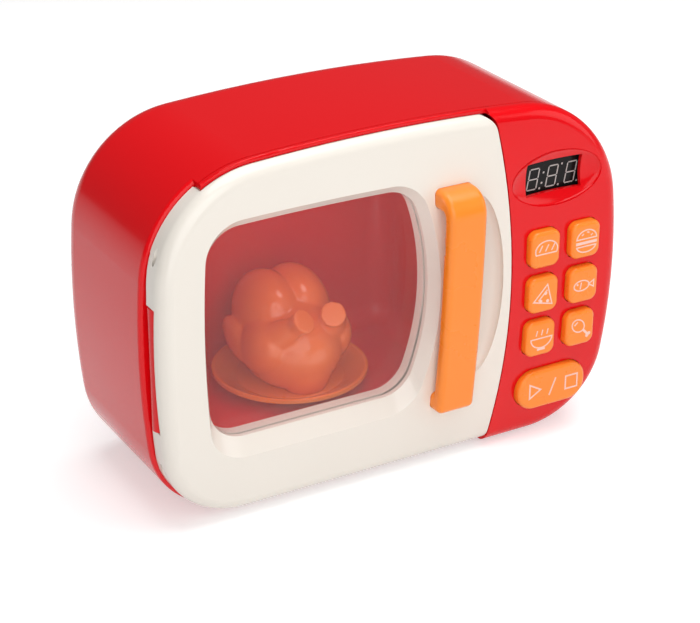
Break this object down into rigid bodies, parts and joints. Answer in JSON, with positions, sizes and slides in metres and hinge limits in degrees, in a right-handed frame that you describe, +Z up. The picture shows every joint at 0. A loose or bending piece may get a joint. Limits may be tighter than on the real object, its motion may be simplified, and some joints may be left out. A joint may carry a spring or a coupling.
{
  "type": "toy microwave",
  "caption": "Toy microwave oven for a play kitchen: red case with a bowed front, cream hinged door with a window and bow handle, push keys, a digital display and a gear-driven turntable.",
  "frame": {"origin": "on the table under the middle of the part's bounding box", "axes": "+X to the right seen from the front, +Y from the door to the back, +Z up"},
  "size_m": [0.26, 0.1229, 0.186],
  "materials": {
    "red_plastic": "glossy moulded red plastic",
    "cream_plastic": "glossy moulded cream plastic",
    "clear_plastic": "clear thin sheet plastic",
    "orange_plastic": "glossy moulded orange plastic",
    "plate_plastic": "glossy moulded orange plastic",
    "roast_plastic": "satin moulded brown-orange plastic",
    "white_plastic": "natural white gear plastic",
    "black_plastic": "black plastic",
    "display_plastic": "smoked glossy plastic",
    "board": "printed circuit board",
    "steel": "plated steel",
    "speaker_metal": "dull black metal",
    "cell_jacket": "plain printed metal jacket",
    "rubber": "soft black rubber"
  },
  "bodies": {
    "case": {"rear_housing": "red_plastic", "front_bezel": "red_plastic", "cavity_liner": "red_plastic", "feet": "rubber", "case_screws": "steel", "hinge_pin": "steel", "latch_clip": "steel", "control_board": "board", "board_screws": "steel", "key_switches": "black_plastic", "display_module": "display_plastic", "speaker": "speaker_metal", "lamp_lens": "clear_plastic", "lamp_led": "clear_plastic", "battery_tray": "black_plastic", "battery_cells": "cell_jacket", "battery_contacts": "steel", "battery_cover": "red_plastic", "cover_screw": "steel", "idler_pin": "steel", "motor": "steel", "gear_plate": "white_plastic", "gear_screws": "steel"},
    "door": {"door_frame": "cream_plastic", "window_pane": "clear_plastic", "door_inner_panel": "cream_plastic", "door_screws": "steel", "door_handle": "orange_plastic", "handle_screws": "steel", "latch_tongue": "white_plastic"},
    "turntable": {"drive_hub": "white_plastic", "turntable_plate": "plate_plastic", "roast_chicken": "roast_plastic"},
    "idler": {"idler_gear": "white_plastic"},
    "pinion": {"motor_pinion": "white_plastic"},
    "food_key_1_body": {"food_key_1": "orange_plastic"},
    "food_key_2_body": {"food_key_2": "orange_plastic"},
    "food_key_3_body": {"food_key_3": "orange_plastic"},
    "food_key_4_body": {"food_key_4": "orange_plastic"},
    "food_key_5_body": {"food_key_5": "orange_plastic"},
    "food_key_6_body": {"food_key_6": "orange_plastic"},
    "start_key_body": {"start_key": "orange_plastic"}
  },
  "joints": [
    {"name": "door_hinge", "type": "hinge", "parent": "case", "child": "door", "pos_m": [-0.123, -0.0365, 0.089], "axis": [0, 0, -1], "range_deg": [0, 95]},
    {"name": "food_key_1_press", "type": "slide", "parent": "case", "child": "food_key_1_body", "axis": [0, 1, 0], "range_m": [0, 0.0013], "stiffness_N_per_m": 300},
    {"name": "food_key_2_press", "type": "slide", "parent": "case", "child": "food_key_2_body", "axis": [0, 1, 0], "range_m": [0, 0.0013], "stiffness_N_per_m": 300},
    {"name": "food_key_3_press", "type": "slide", "parent": "case", "child": "food_key_3_body", "axis": [0, 1, 0], "range_m": [0, 0.0013], "stiffness_N_per_m": 300},
    {"name": "food_key_4_press", "type": "slide", "parent": "case", "child": "food_key_4_body", "axis": [0, 1, 0], "range_m": [0, 0.0013], "stiffness_N_per_m": 300},
    {"name": "food_key_5_press", "type": "slide", "parent": "case", "child": "food_key_5_body", "axis": [0, 1, 0], "range_m": [0, 0.0013], "stiffness_N_per_m": 300},
    {"name": "food_key_6_press", "type": "slide", "parent": "case", "child": "food_key_6_body", "axis": [0, 1, 0], "range_m": [0, 0.0013], "stiffness_N_per_m": 300},
    {"name": "start_key_press", "type": "slide", "parent": "case", "child": "start_key_body", "axis": [0, 1, 0], "range_m": [0, 0.0013], "stiffness_N_per_m": 300},
    {"name": "turntable_spin", "type": "hinge", "parent": "case", "child": "turntable", "pos_m": [-0.028, 0.014, 0.036], "axis": [0, 0, 1], "continuous": true},
    {"name": "idler_spin", "type": "hinge", "parent": "case", "child": "idler", "pos_m": [-0.004, 0.014, 0.027], "axis": [0, 0, 1], "continuous": true},
    {"name": "pinion_spin", "type": "hinge", "parent": "case", "child": "pinion", "pos_m": [0.016, 0.014, 0.025], "axis": [0, 0, 1], "continuous": true}
  ],
  "couplings": [
    {"joint": "idler_spin", "follows": "turntable_spin", "ratio": -4},
    {"joint": "pinion_spin", "follows": "turntable_spin", "ratio": 16}
  ]
}
